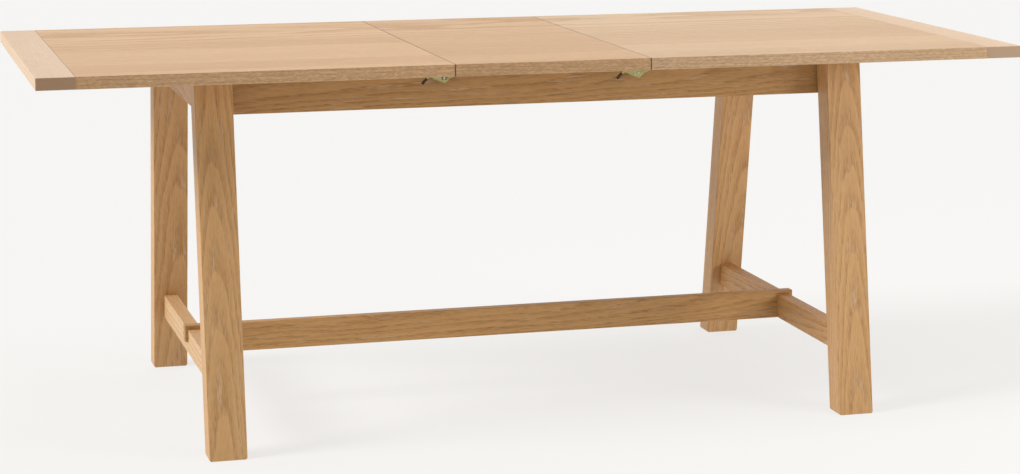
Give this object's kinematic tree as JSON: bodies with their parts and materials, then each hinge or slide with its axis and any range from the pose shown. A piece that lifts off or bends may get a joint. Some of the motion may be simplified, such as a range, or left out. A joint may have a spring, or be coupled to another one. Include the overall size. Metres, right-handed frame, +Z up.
{
  "type": "extendable dining table",
  "caption": "Extending oak trestle table, drawn out, with sloping legs, a long stretcher, two sliding top halves and a lift-out centre leaf.",
  "frame": {"origin": "on the floor under the middle of the drawn-out top", "axes": "+X along the table to the right-hand end, +Y from the front to the back, +Z up"},
  "size_m": [2, 0.85, 0.755],
  "materials": {
    "oak_top": "satin",
    "oak_end_board": "satin",
    "oak_stand": "satin",
    "beech": "plain planed wood",
    "zinc": "yellow zinc plated",
    "grip": "matte",
    "steel": "plated"
  },
  "bodies": {
    "base": {"leg_front_left": "oak_stand", "leg_front_right": "oak_stand", "leg_back_left": "oak_stand", "leg_back_right": "oak_stand", "end_rail_left": "oak_stand", "end_rail_right": "oak_stand", "cross_rail_left": "oak_stand", "cross_rail_right": "oak_stand", "long_stretcher": "oak_stand", "stretcher_screws": "steel", "apron_front": "oak_stand", "apron_back": "oak_stand", "apron_dowels": "beech", "corner_blocks": "beech", "corner_block_screws": "steel", "guide_front": "beech", "guide_back": "beech", "centre_rail": "oak_stand", "centre_rail_dowels": "beech"},
    "top_left": {"top_panel_left": "oak_top", "end_board_left": "oak_end_board", "bearer_left_front": "beech", "bearer_left_back": "beech", "batten_left": "beech", "top_screws_left": "steel", "locating_pins_left": "steel", "latch_brackets_left": "zinc", "latch_pivots_left": "steel", "latch_screws_left": "steel"},
    "top_right": {"top_panel_right": "oak_top", "end_board_right": "oak_end_board", "bearer_right_front": "beech", "bearer_right_back": "beech", "batten_right": "beech", "top_screws_right": "steel", "locating_pins_right": "steel", "latch_brackets_right": "zinc", "latch_pivots_right": "steel", "latch_screws_right": "steel"},
    "leaf": {"leaf_panel": "oak_top", "leaf_batten_left": "beech", "leaf_batten_right": "beech", "leaf_screws": "steel", "keeper_brackets": "zinc", "keeper_pins": "steel", "keeper_screws": "steel"},
    "latch_left_front": {"latch_lever_left_front": "zinc", "latch_grip_left_front": "grip"},
    "latch_left_back": {"latch_lever_left_back": "zinc", "latch_grip_left_back": "grip"},
    "latch_right_front": {"latch_lever_right_front": "zinc", "latch_grip_right_front": "grip"},
    "latch_right_back": {"latch_lever_right_back": "zinc", "latch_grip_right_back": "grip"}
  },
  "joints": [
    {"name": "left_slide", "type": "slide", "parent": "base", "child": "top_left", "axis": [-1, 0, 0], "range_m": [0, 0.012]},
    {"name": "right_slide", "type": "slide", "parent": "base", "child": "top_right", "axis": [1, 0, 0], "range_m": [0, 0.012]},
    {"name": "leaf_lift", "type": "slide", "parent": "base", "child": "leaf", "axis": [0, 0, 1], "range_m": [0, 0.3]},
    {"name": "latch_left_front_turn", "type": "hinge", "parent": "top_left", "child": "latch_left_front", "pos_m": [-0.212, -0.27857, 0.719], "axis": [0, 1, 0], "range_deg": [0, 51]},
    {"name": "latch_left_back_turn", "type": "hinge", "parent": "top_left", "child": "latch_left_back", "pos_m": [-0.212, 0.27857, 0.719], "axis": [0, 1, 0], "range_deg": [0, 51]},
    {"name": "latch_right_front_turn", "type": "hinge", "parent": "top_right", "child": "latch_right_front", "pos_m": [0.214, -0.29857, 0.71], "axis": [0, -1, 0], "range_deg": [0, 51]},
    {"name": "latch_right_back_turn", "type": "hinge", "parent": "top_right", "child": "latch_right_back", "pos_m": [0.214, 0.29857, 0.71], "axis": [0, -1, 0], "range_deg": [0, 51]}
  ],
  "couplings": [
    {"joint": "latch_left_front_turn", "follows": "left_slide", "rad_per_m": 72},
    {"joint": "latch_left_back_turn", "follows": "left_slide", "rad_per_m": 72},
    {"joint": "latch_right_front_turn", "follows": "right_slide", "rad_per_m": 72},
    {"joint": "latch_right_back_turn", "follows": "right_slide", "rad_per_m": 72}
  ]
}
